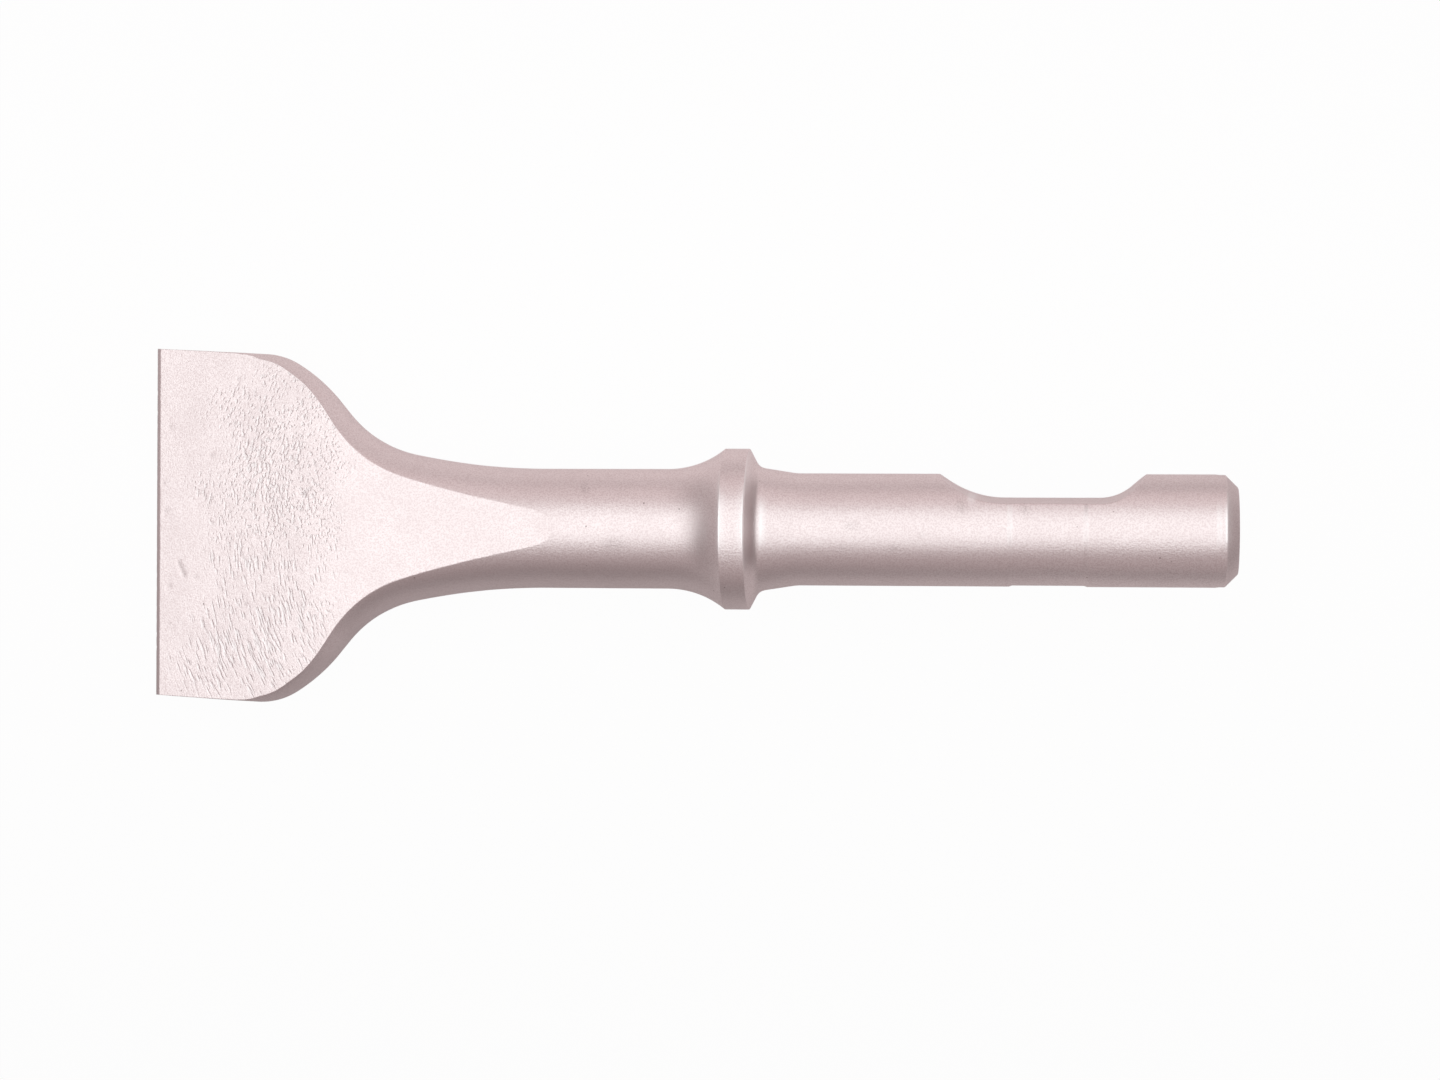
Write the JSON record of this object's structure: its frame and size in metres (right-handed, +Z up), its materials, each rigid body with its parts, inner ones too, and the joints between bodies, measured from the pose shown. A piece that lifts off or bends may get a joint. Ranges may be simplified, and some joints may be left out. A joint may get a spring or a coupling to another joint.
{
  "type": "wide chisel",
  "caption": "Forged steel hammer chisel with a wide fishtail blade, a round neck, a collar and a round shank that has a retainer notch.",
  "frame": {"origin": "middle of the lying chisel's box, on the ground", "axes": "+X runs along the chisel towards its struck end, +Y towards the notched side, +Z up"},
  "size_m": [0.2466, 0.0812, 0.0416],
  "materials": {
    "blasted_steel": "satin, shot-blasted forging steel"
  },
  "bodies": {
    "root": {"wide_chisel": "blasted_steel"}
  },
  "joints": []
}
